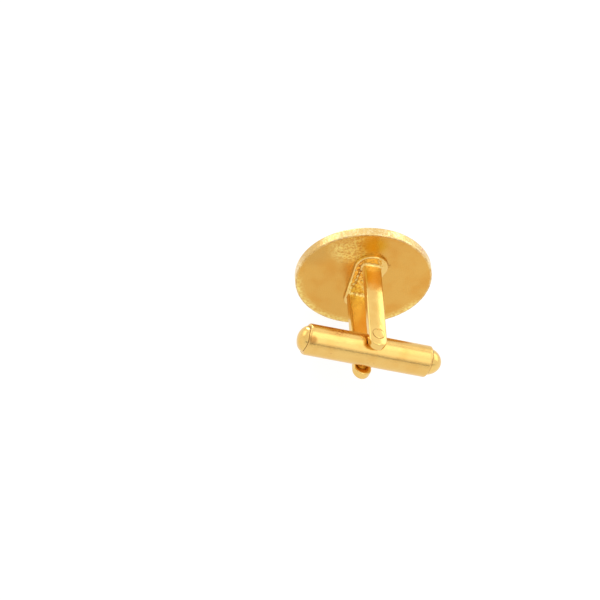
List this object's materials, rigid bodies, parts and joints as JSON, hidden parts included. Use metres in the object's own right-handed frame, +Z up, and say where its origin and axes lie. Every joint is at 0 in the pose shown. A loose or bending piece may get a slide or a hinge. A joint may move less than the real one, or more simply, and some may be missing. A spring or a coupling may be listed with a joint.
{
  "type": "cufflink",
  "caption": "Round medallion cufflink with an enamelled star face and a twin-leg post, whose tube toggle swivels in line with the post to pass through buttonholes.",
  "frame": {"origin": "centre of the medallion's flat back, the face that rests on the cuff", "axes": "+Y out of the flat back along the post, so the enamelled face looks to -Y; +Z up through the ray at 12 o'clock and along the pivot pin; +X along the toggle as it is worn, across the post"},
  "size_m": [0.0198, 0.0162, 0.018],
  "materials": {
    "satin_gold_plate": "gold-plated brass, struck, satin on the flat back and brighter on rim and cell walls",
    "polished_gold_plate": "gold-plated brass, polished",
    "red_enamel": "opaque gloss enamel, level with the metal",
    "navy_enamel": "opaque gloss enamel, level with the metal",
    "spring_steel": "bright rolled strip"
  },
  "bodies": {
    "medallion_and_post": {"medallion": "satin_gold_plate", "centre_enamel": "red_enamel", "ray_enamel_01": "red_enamel", "ray_enamel_02": "red_enamel", "ray_enamel_03": "red_enamel", "ray_enamel_04": "red_enamel", "ray_enamel_05": "red_enamel", "ray_enamel_06": "red_enamel", "ray_enamel_07": "red_enamel", "ray_enamel_08": "red_enamel", "ray_enamel_09": "red_enamel", "ray_enamel_10": "red_enamel", "inner_enamel_01": "navy_enamel", "inner_enamel_02": "navy_enamel", "inner_enamel_03": "navy_enamel", "inner_enamel_04": "navy_enamel", "inner_enamel_05": "navy_enamel", "inner_enamel_06": "navy_enamel", "inner_enamel_07": "navy_enamel", "inner_enamel_08": "navy_enamel", "inner_enamel_09": "navy_enamel", "inner_enamel_10": "navy_enamel", "outer_enamel_01": "navy_enamel", "outer_enamel_02": "navy_enamel", "outer_enamel_03": "navy_enamel", "outer_enamel_04": "navy_enamel", "outer_enamel_05": "navy_enamel", "outer_enamel_06": "navy_enamel", "outer_enamel_07": "navy_enamel", "outer_enamel_08": "navy_enamel", "outer_enamel_09": "navy_enamel", "outer_enamel_10": "navy_enamel", "twin_leg_post": "polished_gold_plate", "pivot_pin": "polished_gold_plate"},
    "toggle": {"toggle_tube": "polished_gold_plate", "left_end_cap": "polished_gold_plate", "right_end_cap": "polished_gold_plate", "front_click_spring": "spring_steel", "rear_click_spring": "spring_steel"}
  },
  "joints": [
    {"name": "toggle_swivel", "type": "hinge", "parent": "medallion_and_post", "child": "toggle", "pos_m": [0, 0.01217, 0], "axis": [0, 0, 1], "continuous": true, "deforming": ["front_click_spring", "rear_click_spring"]}
  ]
}
